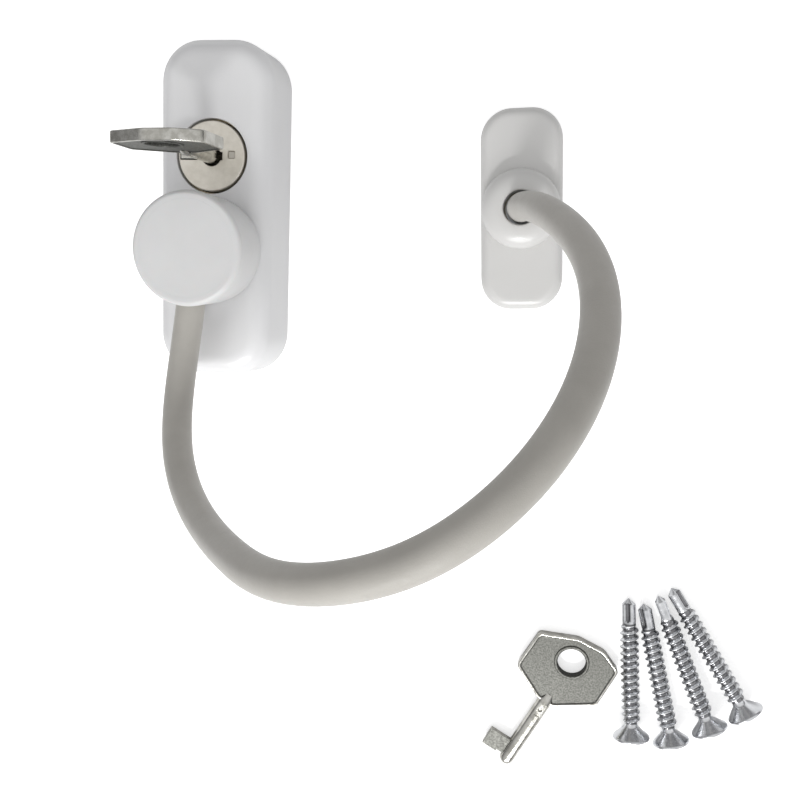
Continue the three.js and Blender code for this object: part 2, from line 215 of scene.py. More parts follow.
def piece(name, mesh, body, slot, finishes, *nodes, sharp=34):
    """A named piece in metres that rides on a body and stands for its CAD nodes."""
    mesh.transform(Matrix.Scale(MM, 4))
    mesh.name = name
    for finish in finishes if isinstance(finishes, list) else [finishes]:
        mesh.materials.append(finish)
    mesh.shade_smooth()
    mesh.set_sharp_from_angle(angle=math.radians(sharp))
    made = bpy.data.objects.new(name, mesh)
    bpy.context.scene.collection.objects.link(made)
    weighted = made.modifiers.new("flat faces", "WEIGHTED_NORMAL")
    weighted.keep_sharp = True
    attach(made, body)
    if nodes:
        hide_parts(*nodes)
    return made


# ---------- materials ----------


class Finish:
    """A node material for a surface, with helpers for its colour, roughness and relief."""

    def __init__(self, name, colour, roughness, metallic=0.0, **uniform):
        self.material = bpy.data.materials.new(name)
        self.material.use_nodes = True
        self.tree = self.material.node_tree
        self.shader = self.tree.nodes["Principled BSDF"]
        self.colour = colour
        self.set("Base Color", (*colour, 1))
        self.set("Roughness", roughness)
        self.set("Metallic", metallic)
        for socket, value in uniform.items():
            self.set(socket.replace("_", " "), value)
        self.place = self.tree.nodes.new("ShaderNodeTexCoord").outputs["Object"]

    def set(self, socket, value):
        self.shader.inputs[socket].default_value = value

    def link(self, source, target):
        self.tree.links.new(source, target)

    def noise(self, size, detail=3.0, stretch=(1, 1, 1), vector=None):
        """Noise whose features are about size millimetres wide, longer where stretch is below 1."""
        mapping = self.tree.nodes.new("ShaderNodeMapping")
        mapping.inputs["Scale"].default_value = stretch
        self.link(vector or self.place, mapping.inputs["Vector"])
        node = self.tree.nodes.new("ShaderNodeTexNoise")
        node.inputs["Scale"].default_value = 1 / (size * MM)
        node.inputs["Detail"].default_value = detail
        self.link(mapping.outputs["Vector"], node.inputs["Vector"])
        return node.outputs["Fac"]

    def rings(self, centre, size):
        """Fine turning marks round an upright axis through centre."""
        offset = self.tree.nodes.new("ShaderNodeVectorMath")
        offset.operation = "SUBTRACT"
        offset.inputs[1].default_value = (centre[0] * MM, centre[1] * MM, 0)
        self.link(self.place, offset.inputs[0])
        flat = self.tree.nodes.new("ShaderNodeVectorMath")
        flat.operation = "MULTIPLY"
        flat.inputs[1].default_value = (1, 1, 0)
        self.link(offset.outputs["Vector"], flat.inputs[0])
        length = self.tree.nodes.new("ShaderNodeVectorMath")
        length.operation = "LENGTH"
        self.link(flat.outputs["Vector"], length.inputs[0])
        join = self.tree.nodes.new("ShaderNodeCombineXYZ")
        self.link(length.outputs["Value"], join.inputs["X"])
        return self.noise(size, 2.0, vector=join.outputs["Vector"])

    def spread(self, source, lowest, highest, start=0.3, end=0.7):
        node = self.tree.nodes.new("ShaderNodeMapRange")
        limits = {"From Min": start, "From Max": end, "To Min": lowest, "To Max": highest}
        for socket, value in limits.items():
            node.inputs[socket].default_value = value
        self.link(source, node.inputs["Value"])
        return node.outputs["Result"]

    def rough(self, source, lowest, highest, start=0.3, end=0.7):
        self.link(self.spread(source, lowest, highest, start, end), self.shader.inputs["Roughness"])

    def tint(self, source, other, start=0.35, end=0.65):
        """Blends the base colour towards another where the source is high."""
        node = self.tree.nodes.new("ShaderNodeMix")
        node.data_type = "RGBA"
        node.inputs["A"].default_value = (*self.colour, 1)
        node.inputs["B"].default_value = (*other, 1)
        self.link(self.spread(source, 0, 1, start, end), node.inputs["Factor"])
        self.link(node.outputs["Result"], self.shader.inputs["Base Color"])

    def relief(self, depth, *sources):
        """Bumps depth millimetres high from the sum of the sources."""
        total = sources[0]
        for source in sources[1:]:
            node = self.tree.nodes.new("ShaderNodeMath")
            self.link(total, node.inputs[0])
            self.link(source, node.inputs[1])
            total = node.outputs["Value"]
        bump = self.tree.nodes.new("ShaderNodeBump")
        bump.inputs["Distance"].default_value = depth * MM
        self.link(total, bump.inputs["Height"])
        self.link(bump.outputs["Normal"], self.shader.inputs["Normal"])


def white_coat(name, colour, other):
    """Stoved white paint on a die casting: glossy, with a faint orange peel."""
    made = Finish(name, colour, 0.3, Coat_Weight=0.4, Coat_Roughness=0.1)
    made.tint(made.noise(14, 2), other, 0.2, 0.8)
    made.rough(made.noise(5, 2), 0.29, 0.35, 0.2, 0.8)
    made.relief(0.003, made.noise(1.2, 1))
    return made.material


def white_plastic():
    """Moulded white plastic with a fine satin grain."""
    made = Finish("white_plastic", (0.70, 0.70, 0.70), 0.34, Subsurface_Weight=0.06, Subsurface_Scale=0.001)
    made.tint(made.noise(7, 3), (0.68, 0.68, 0.68))
    made.rough(made.noise(1.5), 0.3, 0.4)
    made.relief(0.006, made.noise(0.35, 3))
    return made.material


def white_sheath():
    """Extruded PVC in a warm grey-white, matt, with a fine grain."""
    made = Finish("white_sheath", (0.445, 0.428, 0.393), 0.55, Sheen_Weight=0.35, Sheen_Roughness=0.4)
    made.tint(made.noise(6, 5), (0.415, 0.398, 0.365))
    made.rough(made.noise(0.8, 4), 0.48, 0.64)
    made.relief(0.02, made.noise(0.4, 4), made.noise(0.15, 2))
    return made.material


def grey_plastic():
    made = Finish("grey_plastic", (0.10, 0.10, 0.105), 0.45)
    made.tint(made.noise(4, 3), (0.13, 0.13, 0.135))
    made.rough(made.noise(1.0, 4), 0.4, 0.55)
    made.relief(0.02, made.noise(0.5, 3))
    return made.material


def nickel(name, centre, shade=1.0):
    """Satin nickel turned about an axis, a little warm, with fine marks of the tool."""
    made = Finish(name, (0.82 * shade, 0.78 * shade, 0.70 * shade), 0.36, 1.0)
    made.tint(made.noise(1.6, 6), (0.74 * shade, 0.70 * shade, 0.62 * shade))
    marks = made.rings(centre, 0.12)
    made.rough(made.noise(0.6, 4), 0.32, 0.46)
    made.relief(0.004, marks, made.noise(0.25, 3))
    return made.material


def key_nickel(name, colour, speck, roughness, depth, speck_size=0.35):
    """Nickel-plated die casting, smooth or speckled."""
    made = Finish(name, colour, roughness[0], 1.0)
    made.tint(made.noise(speck_size, 5), speck, 0.4, 0.62)
    made.rough(made.noise(0.5, 5), *roughness)
    made.relief(depth, made.noise(0.22, 4), made.noise(1.1, 3))
    return made.material


# Near-black nickel, painted as shade into the keys' creases and round the ring hole.
def painted_crease_shade():
    made = Finish("painted_crease_shade", (0.05, 0.05, 0.045), 0.5, 0.8)
    made.tint(made.noise(0.3, 4), (0.12, 0.12, 0.11))
    made.rough(made.noise(0.4, 3), 0.4, 0.6)
    return made.material


def zinc_plate():
    """Zinc-plated steel: cool and slightly clouded."""
    made = Finish("zinc_plate", (0.62, 0.64, 0.66), 0.34, 1.0)
    made.tint(made.noise(2.5, 6), (0.52, 0.53, 0.52))
    made.rough(made.noise(1.2, 5), 0.28, 0.46)
    made.relief(0.006, made.noise(0.3, 4), made.noise(1.4, 2))
    return made.material


def bright_zinc(name, colour, other):
    made = Finish(name, colour, 0.18, 1.0)
    made.tint(made.noise(1.8, 5), other)
    made.rough(made.noise(0.7, 5), 0.14, 0.28)
    made.relief(0.006, made.noise(0.3, 4))
    return made.material


def brass():
    made = Finish("brass", (0.40, 0.34, 0.24), 0.36, 1.0)
    made.tint(made.noise(1.5, 5), (0.32, 0.26, 0.17))
    made.rough(made.noise(0.8, 5), 0.26, 0.44)
    made.relief(0.005, made.noise(0.3, 4))
    return made.material


def steel_rope():
    made = Finish("steel_rope", (0.55, 0.56, 0.57), 0.3, 1.0)
    made.tint(made.noise(0.8, 5), (0.38, 0.38, 0.38))
    made.rough(made.noise(0.5, 4), 0.24, 0.42)
    made.relief(0.004, made.noise(0.2, 4))
    return made.material


coat = white_coat("white_coat", (0.79, 0.79, 0.80), (0.775, 0.775, 0.78))
# The anchor wears the lock's white paint made darker: painted shade.
shaded_anchor_coat = white_coat("shaded_anchor_coat", (0.65, 0.645, 0.635), (0.625, 0.62, 0.605))
plastic = white_plastic()
zinc = zinc_plate()
turned_brass = brass()
screw_zinc = bright_zinc("bright_zinc", (0.80, 0.81, 0.83), (0.62, 0.63, 0.65))
# A darker copy of the screw zinc, painted as shade into the screws' grooves and recess.
shaded_zinc = bright_zinc("shaded_zinc", (0.30, 0.30, 0.31), (0.20, 0.20, 0.21))
cast_nickel = key_nickel(
    "cast_nickel", (0.195, 0.195, 0.18), (0.12, 0.12, 0.11), (0.42, 0.58), 0.012
)
smooth_nickel = key_nickel(
    "smooth_nickel", (0.64, 0.63, 0.59), (0.46, 0.45, 0.41), (0.14, 0.26), 0.0015, 1.7
)
painted_shade_line = painted_crease_shade()


# ---------- cable ----------

cable_radius = 2.9
sheath_bore = 1.95

# The cable's centre line, from the crimp in the knob, up over the gap and down into the anchor's boss.
# Its points are those of a curve that a program fitted to the cable's edges, smoothed a little, and
# reworked only next to its two ends.
cable_route = [
    (-0.8, -16.1, 22.6),
    (-1.4, -21.0, 22.6),
    (-2.1, -27.5, 23.0),
    (-2.4, -35.0, 24.8),
    (0.0, -46.5, 32.0),
    (7.0, -54.0, 43.0),
    (15.5, -56.7, 54.7),
    (24.0, -56.7, 66.7),
    (33.5, -55.5, 78.5),
    (44.5, -52.5, 87.0),
    (57.0, -47.0, 90.5),
    (68.5, -37.7, 88.0),
    (75.5, -27.5, 80.0),
    (78.0, -18.0, 69.0),
    (77.0, -10.0, 56.5),
    (73.5, -4.0, 43.5),
    (69.0, 0.0, 30.0),
    (65.3, 1.9, 17.0),
    (63.8, 2.2, 10.5),
    (63.4, 2.2, 5.0),
]


def smooth_line(points, spacing):
    """A natural cubic spline through the points, as points about spacing apart."""
    points = np.array(points, float)
    steps = np.linalg.norm(np.diff(points, axis=0), axis=1)
    at = np.concatenate([[0], np.cumsum(steps)])
    count = len(points)
    system = np.eye(count)
    right = np.zeros_like(points)
    slopes = np.diff(points, axis=0) / steps[:, None]
    for index in range(1, count - 1):
        before, after = steps[index - 1], steps[index]
        system[index, index - 1 : index + 2] = before, 2 * (before + after), after
        right[index] = 6 * (slopes[index] - slopes[index - 1])
    bends = np.linalg.solve(system, right)
    line = []
    for value in np.linspace(0, at[-1], int(at[-1] / spacing) + 1):
        index = min(np.searchsorted(at, value, side="right") - 1, count - 2)
        width = steps[index]
        a = (at[index + 1] - value) / width
        b = 1 - a
        curve = ((a**3 - a) * bends[index] + (b**3 - b) * bends[index + 1]) * width**2 / 6
        line.append(a * points[index] + b * points[index + 1] + curve)
    return np.array(line)


def cross_axes(line):
    """Two directions across a line at each of its points, which don't twist along it."""
    along = np.gradient(line, axis=0)
    along /= np.linalg.norm(along, axis=1)[:, None]
    side = np.cross(along[0], (0, 0, 1))
    pairs = []
    for direction in along:
        side = side - direction * np.dot(side, direction)
        side /= np.linalg.norm(side)
        pairs.append((side, np.cross(direction, side)))
    return pairs


def tube_rings(line, radius, sides, offset=None):
    """Circles round a line; offset gives each ring's centre as (distance, angle) from the line."""
    rings = []
    for index, (point, (side, up)) in enumerate(zip(line, cross_axes(line))):
        centre = point
        if offset is not None:
            distance, angle = offset(index)
            centre = point + distance * (side * math.cos(angle) + up * math.sin(angle))
        ring = []
        for corner in range(sides):
            angle = 2 * math.pi * corner / sides
            ring.append(tuple(centre + radius * (side * math.cos(angle) + up * math.sin(angle))))
        rings.append(ring)
    return rings


def merged(name, meshes):
    """Several closed solids as one mesh."""
    body = bmesh.new()
    for mesh in meshes:
        body.from_mesh(mesh)
    made = bpy.data.meshes.new(name)
    body.to_mesh(made)
    body.free()
    return made


def cable_sheath():
    sides = 48
    line = smooth_line(cable_route, 1.0)
    outside = tube_rings(line, cable_radius, sides)
    inside = tube_rings(line, sheath_bore, sides)
    return line, skin([*outside, *reversed(inside), outside[0]])


def cable_core():
    """The steel rope in the sheath: one straight strand and six laid round it."""
    strand, lay, spacing, sides, laid = 0.48, 15.0, 0.8, 10, 6
    first, last = Vector(cable_route[0]), Vector(cable_route[-1])
    in_knob = first + Vector((-0.5, 4.8, 0))
    in_boss = last - Vector((0, 0, 2.6))
    line = smooth_line([in_knob, *cable_route, in_boss], spacing)
    strands = [skin(tube_rings(line, strand, sides), capped=True)]
    for number in range(laid):
        begin = number * math.pi / 3
        offset = lambda index: (2 * strand + 0.02, begin + 2 * math.pi * index * spacing / lay)
        strands.append(skin(tube_rings(line, strand, sides, offset), capped=True))
    return merged("cable_core", strands)


rope = piece("steel_rope", cable_core(), "cable", "steel_rope", steel_rope(), "cable_core")
sheath_line, sheath_mesh = cable_sheath()
sheath = piece("sheath", sheath_mesh, "cable", "white_sheath", white_sheath(), "cable_sheath")


# ---------- lock ----------

cylinder_axis = middle("cylinder_plug").xy
plug_axis = middle("plug_pin").xy


def lipped_hole(radius, foot, top, lip):
    """A tool that cuts a round hole and rounds its upper edge."""
    edge = [(2 * (radius + lip) - x, z) for x, z in arc((radius + lip, top - lip), lip, 0, 90)]
    return turned([(0, foot), (radius, foot), *edge, (radius + lip, top + 2), (0, top + 2)])


def tray(half_width, half_length, corner, depth, draft, edge, top_steps=12):
    """A solid block with drafted sides, a rounded front edge and rings right across its front."""
    rings = [rounded_ring(half_width - 0.2, half_length - 0.2, corner - 0.2, 0)]
    levels = [(draft * z / depth, z) for z in np.linspace(0.2, depth - edge, 6)]
    slope = draft * (depth - edge) / depth
    levels += [(slope + edge - x, depth - edge + y) for x, y in arc((0, 0), edge, 0, 90, 12)]
    flat = np.linspace(slope + edge, half_width - 0.02, top_steps)
    levels += [(inset, depth) for inset in flat[1:]]
    for inset, z in levels:
        rings.append(rounded_ring(half_width - inset, half_length - inset, corner - inset, z))
    return skin(rings, capped=True)


def lock_housing():
    """The lock's cast cover, with a slightly crowned front and holes for the cylinder and the plug."""
    top = high("lock_housing")
    corner, draft, edge, wall, crown, hole_lip = 8.8, 0.5, 4.2, 2.0, 0.25, 0.2
    body = tray(top.x, top.y, corner, top.z, draft, edge)
    hollow = [(top.x - wall, top.y - wall, corner - wall, z) for z in (-1, top.z - wall)]
    inside = skin([rounded_ring(*level) for level in hollow], capped=True)
    cylinder_hole = lipped_hole(high("cylinder_plug").x + 0.45, 10, top.z, hole_lip)
    plug_hole = lipped_hole(5.7, 10, top.z, hole_lip)
    mesh = cut(body, inside, placed(cylinder_hole, *cylinder_axis), placed(plug_hole, *plug_axis))
    for vertex in mesh.vertices:
        share = max(vertex.co.z / top.z, 0)
        vertex.co.z -= crown * (vertex.co.x / top.x) ** 2 * share
    return mesh


piece("housing", lock_housing(), "lock", "white_coat", coat, "lock_housing")


# ---------- key cylinder ----------


def cylinder_plug():
    """The key cylinder: a turned body with its keyway, a punched mark and a square tail."""
    face, outer = high("cylinder_plug").z, high("cylinder_plug").x
    neck, groove = 5.0, 4.3
    profile = [(0, 6.7), (neck, 6.7), (neck, 7.1), (groove, 7.1), (groove, 8.2), (neck, 8.2)]
    profile += [(neck, 9.2), (outer, 9.2), (outer, face), (0, face)]
    body = turned(softened(profile, 0.35))
    tail = block((3.6, 3.6, 1.7), (0, 0, 6.35))
    slot = block((9.15, 1.7, 10), (-2.175, 0, 14.5))
    mark_levels = [(0.62, 0.62, 0.2, -0.3), (0.8, 0.8, 0.3, -0.02), (0.95, 0.95, 0.3, 0.2)]
    round_way = turned([(0, 9.5), (2, 9.5), (2, face - 0.12), (2.12, face), (2.12, 20), (0, 20)], 48)
    mark_place = (4.3, 0.3)
    mark = placed(skin([rounded_ring(*level) for level in mark_levels], capped=True), *mark_place, face)
    made = cut(joined(body, tail), slot, round_way, mark)
    # Painted shade: the punched mark's floor and walls take a darker nickel.
    for polygon in made.polygons:
        near_mark = (polygon.center.xy - Vector(mark_place)).length < 0.9
        polygon.material_index = 1 if near_mark and face - 0.4 < polygon.center.z < face - 0.01 else 0
    return placed(made, *cylinder_axis)


piece(
    "cylinder_face",
    cylinder_plug(),
    "cylinder",
    "nickel",
    [nickel("cylinder_nickel", cylinder_axis), nickel("mark_shade_nickel", cylinder_axis, 0.7)],
    "cylinder_plug",
)


# ---------- keys ----------

# One key lying flat, its shaft along +X from the tip and its bit on the +Y side.
key_half = 1.1
shaft_radius = 1.6
bow_foot = 17.9
ring_along, ring_radius = 29.1, 3.1
bow_corners = [
    (17.9, -1.9),
    (23.7, -9.7),
    (33.0, -9.5),
    (35.2, -4.6),
    (34.7, 1.6),
    (31.0, 9.5),
    (21.8, 9.7),
    (17.9, 1.9),
]
flat_along = 15.9  # the middle of the two flats on the shaft, below the bow


def inset_outline(corners, inset, radius, z):
    """A polygon moved inwards, with its corners rounded, as a ring of points."""
    lines = []
    for index, start in enumerate(corners):
        end = corners[(index + 1) % len(corners)]
        along = (Vector(end) - Vector(start)).normalized()
        lines.append((Vector(start) + Vector((-along.y, along.x)) * inset, along))
    moved = []
    for index, (point, along) in enumerate(lines):
        before, before_along = lines[index - 1]
        cross = before_along.x * along.y - before_along.y * along.x
        gap = point - before
        reach = (gap.x * along.y - gap.y * along.x) / cross
        moved.append(tuple(before + before_along * reach))
    return [(x, y, z) for x, y in softened(moved, radius, closed=True, steps=6)]


def key_bow():
    """The bow's plate: a raised rim with rounded edges round a slightly sunk face."""
    rim, slope, sunk, edge = 0.5, 0.3, 0.22, 0.28
    side = [(edge - x, key_half - edge + y) for x, y in arc((0, 0), edge, 0, 90)]
    side += [(rim - 0.05, key_half), (rim, key_half - 0.03), (rim + slope, key_half - sunk)]
    upper = [(inset, z) for inset, z in side]
    lower = [(inset, -z) for inset, z in reversed(side)]
    return skin([inset_outline(bow_corners, inset, 0.8, z) for inset, z in (*lower, *upper)], capped=True)


def key_shape():
    bow = key_bow()
    collar_radius, top = ring_radius + 0.75, key_half - 0.01
    collar = turned(softened([(0, -top), (collar_radius, -top), (collar_radius, top), (0, top)], 0.2), 64)
    placed(collar, ring_along)
    along = Matrix.Rotation(math.pi / 2, 3, "Y")
    tip = [(x, z) for z, x in arc((shaft_radius, 0), shaft_radius, 180, 90, 10)]
    rod = turned([*tip, (shaft_radius, bow_foot + 0.8), (1.0, bow_foot + 2.1), (0, bow_foot + 2.1)], 48)
    placed(rod, turn=along)
    bit_ring = [(1.5, 0), (5.7, 0), (5.7, 6.5), (1.5, 6.5)]
    bit_levels = [(0.12, -0.65), (0, -0.53), (0, 0.53), (0.12, 0.65)]
    bit = skin([inset_outline(bit_ring, inset, 0.25, z) for inset, z in bit_levels], capped=True)
    body = joined(bow, collar, rod, bit)
    hole_edge = arc((ring_radius + 0.3, 0), 0.3, 180, 90, 4)
    hole = [(x, key_half - 0.3 + z) for x, z in hole_edge]
    lower_edge = [(x, -z) for x, z in reversed(hole)]
    hole_tool = turned([(0, -3), (3.4, -3), (3.4, -key_half), *lower_edge, *hole, (3.4, 3), (0, 3)], 64)
    placed(hole_tool, ring_along)
    tools = [hole_tool, block((0.9, 1.3, 3), (1.55, 2.3, 0))]
    for side in (1, -1):
        tools.append(block((3.2, 4, 1), (flat_along, 0, side * (1.36 + 0.5))))
        dimple = turned([(0, -0.3), (0.3, -0.25), (0.55, 0.05), (0.55, 1), (0, 1)], 24)
        if side < 0:
            dimple.transform(Matrix.Rotation(math.pi, 4, "X"))
        tools.append(placed(dimple, flat_along, 0, side * 1.33))
    return cut(body, *tools)


def finish_key(mesh):
    """Marks each face of a key: 0 for cast faces, 1 for smooth ones and 2 for lines of painted shade at its
    creases and ring hole.
    """
    bow_middle = Vector((27.3, 0.0))
    for face in mesh.polygons:
        x, y, z = face.center
        level = abs(z)
        from_ring = math.hypot(x - ring_along, y)
        flat = abs(face.normal.z) > 0.95
        inward = face.normal.xy.dot(bow_middle - Vector((x, y))) > 0
        sunk = key_half - 0.215 < level < key_half - 0.02
        # Painted shade: the rim's inner wall, the collar's side and the ring hole's edge go near black.
        if x > bow_foot and sunk and inward and from_ring > ring_radius + 0.9:
            face.material_index = 2
        elif flat and abs(level - (key_half - 0.22)) < 0.03:
            face.material_index = 0
        elif flat and abs(level - 0.65) < 0.03 and y > shaft_radius:
            face.material_index = 0
        elif x > bow_foot and ring_radius + 0.5 < from_ring < ring_radius + 0.8:
            face.material_index = 2
        elif x > bow_foot and from_ring < ring_radius + 0.31:
            face.material_index = 2
        elif from_ring < ring_radius + 0.6:
            face.material_index = 0
        else:
            face.material_index = 1
    return mesh


key_finishes = [cast_nickel, smooth_nickel, painted_shade_line]


def stood_key():
    """In the cylinder the key's length stands along +Z and its bow lies across X."""
    axes = Matrix(((0, -1, 0), (0, 0, -1), (1, 0, 0)))
    return placed(finish_key(key_shape()), *cylinder_axis, low("key").z, turn=axes)


def loose_key():
    heading = Matrix.Rotation(math.radians(61.6), 3, "Z")
    return placed(finish_key(key_shape()), 65.7, -121.2, shaft_radius + 0.02, turn=heading)


piece("key_in_lock", stood_key(), "key", "key_nickel", key_finishes, "key")
piece("key_spare", loose_key(), "spare_key", "key_nickel", key_finishes, "spare_key")


# ---------- plug and knob ----------

cable_turn = math.radians(-6)  # the cable's direction at the knob, from -Y


def plug_pin():
    low_end, top = low("plug_pin").z, high("plug_pin").z
    outer, waist, head = 4.0, 2.8, 6.5
    profile = [(0, low_end), (3.1, low_end), (outer, 2.6), (outer, 3.4), (waist, 3.4), (waist, 5.5)]
    profile += [(outer, 5.5), (outer, 18.1), (head, 18.1), (head, top), (0, top)]
    return placed(turned(softened(profile, 0.2)), *plug_axis)


def knob_shell():
    """The knob's wall and floor, with a rounded rim and a hole for the cable."""
    foot, top, outer, wall = low("knob_shell").z, high("knob_shell").z, 11.3, 2.5
    rim, bore, seat, pin_hole, floor = 1.0, 9.6, 26.4, 4.3, 16.9
    inner = outer - wall
    profile = [(pin_hole, foot), *softened([(10.1, foot), (10.9, foot), (10.93, foot + 0.8)], 0.4)]
    profile += arc((outer - rim, top - rim), rim, 0, 90, 12)
    profile += [(bore, top), (bore, seat), (inner, seat), (inner, floor)]
    profile += [(pin_hole, floor), (pin_hole, foot)]
    shell = turned(profile, 160)
    across = Matrix.Rotation(math.pi / 2, 3, "X")
    hole_radius, hole_depth = cable_radius + 0.3, 20
    cable_hole = turned([(0, 0), (hole_radius, 0), (hole_radius, hole_depth), (0, hole_depth)], 64)
    placed(cable_hole, z=cable_route[0][2], turn=across)
    turn = Matrix.Rotation(cable_turn, 3, "Z")
    return placed(cut(shell, cable_hole), *plug_axis, turn=turn)


def knob_lid():
    """The knob's lid, flush with the rim and let in so closely that no seam shows."""
    radius, foot, top = 9.59, low("knob_lid").z, high("knob_shell").z
    return placed(turned([(0, foot), (radius, foot), (radius, top), (0, top)], 160), *plug_axis)


piece("pin", plug_pin(), "plug", "zinc_plate", zinc, "plug_pin")
piece("knob_body", knob_shell(), "cable", "white_plastic", plastic, "knob_shell")
piece("knob_cap", knob_lid(), "cable", "white_plastic", plastic, "knob_lid")


# ---------- anchor ----------

anchor_middle = middle("anchor_ferrule").xy
anchor_turn = math.radians(3)
anchor_half_width, anchor_half_length = 8.45, 20.6
anchor_corner, anchor_depth, anchor_edge = 6.4, 5.2, 2.2
boss_radius, boss_shoulder, boss_rim = 8.1, 6.6, 4.0


def inside_plate(x, y):
    """How far a point lies inside the plate's outline."""
    over_x = abs(x) - (anchor_half_width - anchor_corner)
    over_y = abs(y) - (anchor_half_length - anchor_corner)
    return anchor_corner - math.hypot(max(over_x, 0), max(over_y, 0)) - min(max(over_x, over_y), 0)


def outline_reach(direction):
    """The distance from the boss's centre to the plate's outline in a direction."""
    near, far = 0.0, 2 * anchor_half_length
    for _ in range(40):
        reach = (near + far) / 2
        if inside_plate(reach * direction[0], reach * direction[1]) > 0:
            near = reach
        else:
            far = reach
    return near


def cover_height(x, y, top):
    """The front surface: the plate with its rounded edge, blended into the domed boss."""
    depth_in = min(max(inside_plate(x, y), 0), anchor_edge)
    plate = anchor_depth - anchor_edge + math.sqrt(anchor_edge**2 - (anchor_edge - depth_in) ** 2)
    radius = math.hypot(x, y)
    if radius < boss_radius:
        share = max(radius - boss_rim, 0) / (boss_radius - boss_rim)
        boss = boss_shoulder + (top - boss_shoulder) * math.sqrt(1 - share**2)
    else:
        boss = boss_shoulder - (radius - boss_radius) * 24
    blend = 0.5
    near = max(blend - abs(plate - boss), 0) / blend
    return max(plate, boss) + near**2 * blend / 4


def anchor_cover():
    top = high("anchor_cover").z
    directions = [(math.cos(a), math.sin(a)) for a in np.linspace(0, 2 * math.pi, 160, endpoint=False)]
    reaches = [outline_reach(direction) for direction in directions]
    foot_out = boss_radius + 0.3
    inner = [*np.linspace(0, boss_rim, 6)]
    inner += [boss_rim + (boss_radius - boss_rim) * math.sin(a) for a in np.linspace(0.08, math.pi / 2, 22)]
    inner += [*np.linspace(boss_radius + 0.03, foot_out, 8)]
    outer = [math.sin(a) for a in np.linspace(0, math.pi / 2, 26)][1:]
    rings = []
    for radius in inner:
        spots = [(radius * x, radius * y) for x, y in directions]
        rings.append([(x, y, cover_height(x, y, top)) for x, y in spots])
    for share in outer:
        ring = []
        for (x, y), reach in zip(directions, reaches):
            radius = foot_out + (reach - foot_out) * share
            ring.append((radius * x, radius * y, cover_height(radius * x, radius * y, top)))
        rings.append(ring)
    for z, inset in ((2, 0), (1, 0), (0.25, 0), (0, 0.2)):
        ring = []
        for (x, y), reach in zip(directions, reaches):
            ring.append(((reach - inset) * x, (reach - inset) * y, z))
        rings.append(ring)
    rings.append([(0, 0, 0)] * len(directions))
    wall = 1.5
    half_width, half_length = anchor_half_width - wall, anchor_half_length - wall
    corner = anchor_corner - wall
    levels = (-1, anchor_depth - wall)
    inside = skin([rounded_ring(half_width, half_length, corner, z) for z in levels], capped=True)
    bore, lip = 3.45, 0.35
    edge = [(2 * (bore + lip) - x, z) for x, z in arc((bore + lip, top - lip), lip, 0, 90)]
    counterbore, seat, above = 5.4, 4.4, top + 2
    profile = [(0, -1), (counterbore, -1), (counterbore, seat), (bore, seat)]
    passage = turned([*profile, *edge, (bore + lip, above), (0, above)])
    turn = Matrix.Rotation(anchor_turn, 3, "Z")
    return placed(cut(skin(rings), inside, passage), *anchor_middle, turn=turn)


piece("anchor_shell", anchor_cover(), "anchor", "white_coat", shaded_anchor_coat, "anchor_cover")


# ---------- screws ----------

screw_length, head_radius, head_depth, head_rim = 31.0, 3.95, 2.9, 0.5
crest_radius, root_radius, drill_radius = 2.0, 1.38, 1.45
pitch, drill_length, thread_end = 1.5, 5.5, 27.6
laying_screws = [  # where each point lies, and degrees from +X to the head
    (90.8, -79.9, -85.5),
    (94.05, -80.8, -75.6),
    (96.9, -78.8, -65.8),
    (99.5, -76.8, -56.3),
]


def shank_radius(angle, z):
    """The radius of the drill point, then of the thread, at an angle and a height."""
    if z < drill_length:
        body = drill_radius * min(z / 1.3, 1)
        flute = max(math.cos(2 * angle), 0) ** 1.5
        fade = min((drill_length - z) / 0.8, 1)
        return body * (1 - 0.5 * flute * fade)
    phase = (z / pitch - angle / (2 * math.pi)) % 1
    tooth = min(max(1 - abs(phase - 0.5) / 0.34, 0) * 1.25, 1)
    rise = min((z - drill_length) / 1.2, (thread_end - z) / 0.8, 1)
    return root_radius + (crest_radius - root_radius) * tooth * max(rise, 0)


def recess_wing(turn):
    """One of the two crossing wedges that cut a cross recess."""
    levels = [(0.7, 0.2, -2.2), (1.9, 0.36, -0.5), (2.25, 0.5, 0.3)]
    rings = []
    for half_length, half_width, z in levels:
        rings.append(rounded_ring(half_length, half_width, 0.12, z, 3))
    return placed(skin(rings, capped=True), z=screw_length, turn=Matrix.Rotation(turn, 3, "Z"))


def screw_shape():
    sides = 40
    heights = [0.0, 0.12, 0.3, 0.6, 0.9, 1.1, 1.3, 1.6]
    heights += [*np.arange(2.0, drill_length, 0.25), *np.arange(drill_length, thread_end, pitch / 12)]
    angles = [2 * math.pi * index / sides for index in range(sides)]
    rings = []
    for z in heights:
        radii = [shank_radius(angle, z) for angle in angles]
        rings.append([(r * math.cos(a), r * math.sin(a), z) for r, a in zip(radii, angles)])
    cone = [(root_radius, thread_end), (root_radius + 0.1, screw_length - head_depth + 0.2)]
    cone += [(head_radius, screw_length - head_rim), (head_radius, screw_length), (0, screw_length)]
    for radius, z in softened(cone, 0.22):
        rings.append([(radius * math.cos(a), radius * math.sin(a), z) for a in angles])
    socket = placed(turned([(0, -2.4), (0.5, -2.0), (1.05, 0.3), (0, 0.3)], 24), z=screw_length)
    return cut(skin(rings), recess_wing(0), recess_wing(math.pi / 2), socket)


def finish_screw(mesh):
    """Marks each face of a screw: 1 for darker zinc painted as shade in the thread's groove, the flutes and
    the recess, and 0 elsewhere.
    """
    for face in mesh.polygons:
        x, y, z = face.center
        radius = math.hypot(x, y)
        groove = drill_length < z < thread_end and radius < root_radius + 0.16
        flute = 1.0 < z < drill_length and radius < 1.15
        recess = z > screw_length - 2.5 and radius < 2.4 and abs(face.normal.z) < 0.8
        face.material_index = 1 if groove or flute or recess else 0
    return mesh


